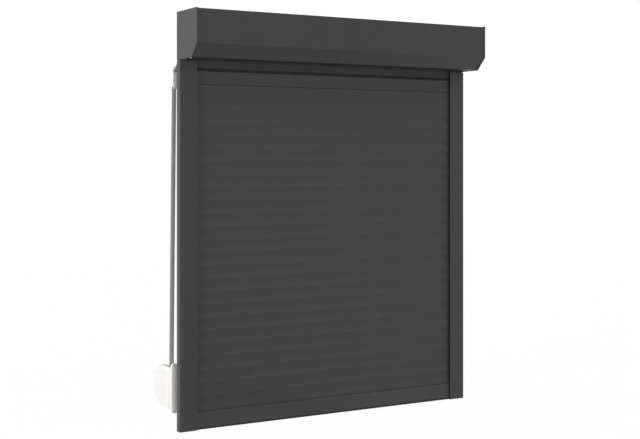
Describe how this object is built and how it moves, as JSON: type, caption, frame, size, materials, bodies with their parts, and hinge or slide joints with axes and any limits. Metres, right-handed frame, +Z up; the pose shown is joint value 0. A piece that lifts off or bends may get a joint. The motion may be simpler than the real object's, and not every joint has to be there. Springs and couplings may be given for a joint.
{
  "type": "roller shutter",
  "caption": "Exterior roller shutter: box with shaft and coiled strap, guide rails, slatted curtain with bottom bar, strap guide and swivelling strap winder.",
  "frame": {"origin": "middle of the four wall fixing holes, on the plane of the wall that the rails' backs touch", "axes": "+X to the right seen from outside, +Y towards indoors, +Z up along the rails"},
  "size_m": [1, 0.3159, 1.197],
  "materials": {
    "anthracite": "anthracite powder coat, satin",
    "steel": "galvanised",
    "dark_plastic": "moulded, matt",
    "pile": "black brush pile",
    "seal": "matt",
    "strap": "woven webbing",
    "white_plastic": "satin moulded"
  },
  "bodies": {
    "root": {"box_shell": "anthracite", "inspection_cover": "anthracite", "end_cap_left": "anthracite", "end_cap_right": "anthracite", "box_screws": "steel", "inlet_guides": "dark_plastic", "shaft_bearings": "steel", "rail_left": "anthracite", "rail_right": "anthracite", "rail_pile": "pile", "rail_plugs": "anthracite", "strap_run": "strap", "strap_guide": "white_plastic", "winder_bracket": "white_plastic", "winder_pin": "steel"},
    "curtain": {"slat_01": "anthracite", "slat_02": "anthracite", "slat_03": "anthracite", "slat_04": "anthracite", "slat_05": "anthracite", "slat_06": "anthracite", "slat_07": "anthracite", "slat_08": "anthracite", "slat_09": "anthracite", "slat_10": "anthracite", "slat_11": "anthracite", "slat_12": "anthracite", "slat_13": "anthracite", "slat_14": "anthracite", "slat_15": "anthracite", "slat_16": "anthracite", "slat_17": "anthracite", "slat_18": "anthracite", "slat_19": "anthracite", "slat_20": "anthracite", "slat_21": "anthracite", "slat_22": "anthracite", "slat_23": "anthracite", "slat_24": "anthracite", "slat_25": "anthracite", "slat_26": "anthracite", "slat_27": "anthracite", "slat_end_locks": "dark_plastic", "hanger_straps": "steel", "bottom_bar": "anthracite", "bottom_seal": "seal", "bar_end_caps": "dark_plastic"},
    "shaft": {"winding_shaft": "steel", "shaft_capsule": "dark_plastic", "shaft_pins": "steel", "strap_pulley": "dark_plastic", "pulley_strap": "strap"},
    "deflection_roller": {"deflection_roller": "steel"},
    "guide_roller": {"guide_roller": "steel"},
    "winder": {"winder_housing": "white_plastic", "winder_cover": "white_plastic", "winder_strap": "strap"},
    "spool": {"winder_spool": "steel", "winder_spring": "steel"}
  },
  "joints": [
    {"name": "curtain_lift", "type": "slide", "parent": "root", "child": "curtain", "axis": [0, 0, 1], "range_m": [0, 1], "deforming": ["slat_01", "slat_02", "slat_03", "slat_04", "slat_05", "slat_06", "slat_07", "slat_08", "slat_09", "slat_10", "slat_11", "slat_12", "slat_13", "slat_14", "slat_15", "slat_16", "slat_17", "slat_18", "slat_19", "slat_20", "slat_21", "slat_22", "slat_23", "slat_24", "slat_25", "slat_26", "slat_27", "slat_end_locks", "hanger_straps"]},
    {"name": "shaft_turn", "type": "hinge", "parent": "root", "child": "shaft", "pos_m": [0, -0.0685, 0.5995], "axis": [1, 0, 0], "range_deg": [0, 1433.4]},
    {"name": "deflection_roller_turn", "type": "hinge", "parent": "root", "child": "deflection_roller", "pos_m": [-0.485, -0.009, 0.5393], "axis": [1, 0, 0], "range_deg": [-11464.2, 0]},
    {"name": "guide_roller_turn", "type": "hinge", "parent": "root", "child": "guide_roller", "pos_m": [-0.485, 0.0483, 0.487], "axis": [1, 0, 0], "range_deg": [-11464.2, 0]},
    {"name": "winder_swivel", "type": "hinge", "parent": "root", "child": "winder", "pos_m": [-0.485, 0.0639, -0.4165], "axis": [0, 0, 1], "range_deg": [-70, 70]},
    {"name": "spool_turn", "type": "hinge", "parent": "winder", "child": "spool", "pos_m": [-0.485, 0.1194, -0.4165], "axis": [1, 0, 0], "range_deg": [0, 2063.6]}
  ],
  "couplings": [
    {"joint": "shaft_turn", "follows": "curtain_lift", "rad_per_m": 25},
    {"joint": "deflection_roller_turn", "follows": "curtain_lift", "rad_per_m": -200},
    {"joint": "guide_roller_turn", "follows": "curtain_lift", "rad_per_m": -200},
    {"joint": "spool_turn", "follows": "curtain_lift", "rad_per_m": 36}
  ]
}
